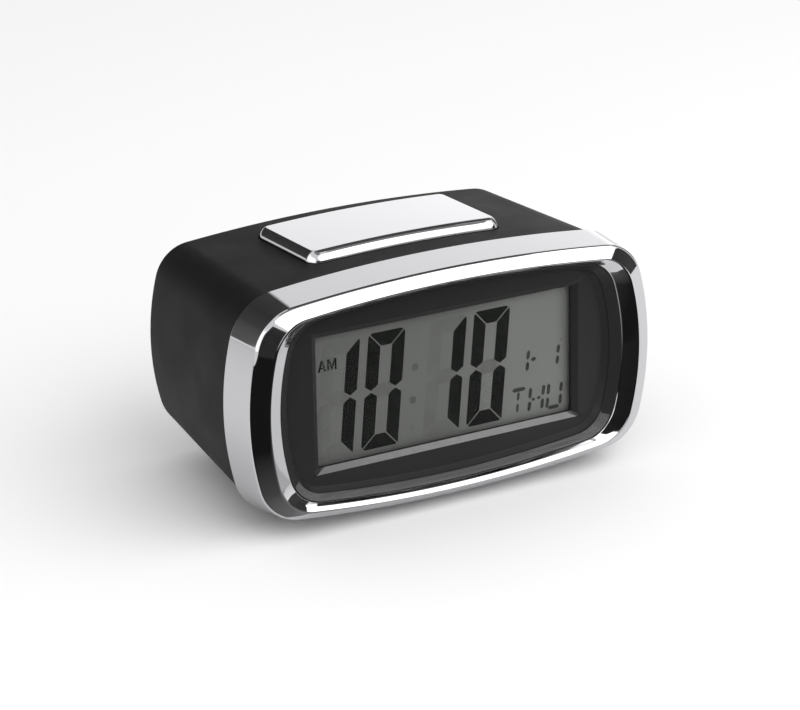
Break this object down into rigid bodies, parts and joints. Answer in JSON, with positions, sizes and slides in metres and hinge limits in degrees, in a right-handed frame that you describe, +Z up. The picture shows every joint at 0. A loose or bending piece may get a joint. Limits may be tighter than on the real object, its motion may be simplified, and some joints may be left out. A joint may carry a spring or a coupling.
{
  "type": "digital alarm clock",
  "caption": "Bedside digital alarm clock: wide rounded chrome face ring, dished black panel with a segment display, tapered black body, chrome snooze bar on top, rear buttons and battery door.",
  "frame": {"origin": "middle of the clock's box on the table, under the feet", "axes": "+X to the right as the display is read, +Y from the display to the rear, +Z up"},
  "size_m": [0.124, 0.071, 0.0665],
  "materials": {
    "chrome": "polished",
    "panel_black": "satin",
    "shell_black": "soft matte",
    "window_clear": "clear",
    "lcd_grey": "satin",
    "diffuser_white": "satin",
    "contact_rubber": "matte",
    "frame_ivory": "satin",
    "board_green": "satin",
    "resin_black": "glossy",
    "steel": "satin",
    "inner_black": "matte",
    "switch_grey": "satin",
    "button_grey": "satin",
    "cell_jacket": "satin",
    "disc_brass": "satin",
    "foot_rubber": "matte",
    "cable_grey": "satin",
    "lead_red": "satin",
    "lead_yellow": "satin",
    "lead_black": "satin"
  },
  "bodies": {
    "case": {"bezel_ring": "chrome", "front_panel": "panel_black", "display_window": "window_clear", "lcd_glass": "lcd_grey", "light_guide": "diffuser_white", "backlight_leds": "diffuser_white", "zebra_strips": "contact_rubber", "lcd_frame": "frame_ivory", "main_board": "board_green", "chip_blob": "resin_black", "crystal": "steel", "board_screws": "steel", "body_shell": "shell_black", "snooze_springs": "steel", "snooze_board": "board_green", "snooze_switch": "switch_grey", "snooze_board_screws": "steel", "key_board": "board_green", "key_switches": "switch_grey", "key_board_screws": "steel", "alarm_switch": "switch_grey", "battery_box": "inner_black", "battery_cells": "cell_jacket", "battery_springs": "steel", "battery_plates": "steel", "buzzer_disc": "disc_brass", "buzzer_retainer": "inner_black", "case_screws": "steel", "front_feet": "foot_rubber", "rear_feet": "foot_rubber", "ribbon_cable": "cable_grey", "battery_leads": "lead_red", "snooze_leads": "lead_yellow", "buzzer_leads": "lead_black"},
    "snooze": {"snooze_bar": "chrome", "snooze_carrier": "inner_black"},
    "mode_button": {"mode_button": "button_grey"},
    "set_button": {"set_button": "button_grey"},
    "up_button": {"up_button": "button_grey"},
    "down_button": {"down_button": "button_grey"},
    "alarm_slider": {"alarm_slider": "button_grey"},
    "battery_door": {"battery_door": "shell_black"}
  },
  "joints": [
    {"name": "snooze_press", "type": "slide", "parent": "case", "child": "snooze", "axis": [0, -0.0523, -0.9986], "range_m": [0, 0.0012], "stiffness_N_per_m": 1500, "springref_m": -0.001, "deforming": ["snooze_springs"]},
    {"name": "mode_button_press", "type": "slide", "parent": "case", "child": "mode_button", "axis": [0, -0.9986, 0.0523], "range_m": [0, 0.0008], "stiffness_N_per_m": 1500, "springref_m": -0.0005},
    {"name": "set_button_press", "type": "slide", "parent": "case", "child": "set_button", "axis": [0, -0.9986, 0.0523], "range_m": [0, 0.0008], "stiffness_N_per_m": 1500, "springref_m": -0.0005},
    {"name": "up_button_press", "type": "slide", "parent": "case", "child": "up_button", "axis": [0, -0.9986, 0.0523], "range_m": [0, 0.0008], "stiffness_N_per_m": 1500, "springref_m": -0.0005},
    {"name": "down_button_press", "type": "slide", "parent": "case", "child": "down_button", "axis": [0, -0.9986, 0.0523], "range_m": [0, 0.0008], "stiffness_N_per_m": 1500, "springref_m": -0.0005},
    {"name": "alarm_slide", "type": "slide", "parent": "case", "child": "alarm_slider", "axis": [1, 0, 0], "range_m": [0, 0.004]},
    {"name": "battery_door_off", "type": "slide", "parent": "case", "child": "battery_door", "axis": [0, 0.9986, -0.0523], "range_m": [0, 0.02]}
  ]
}
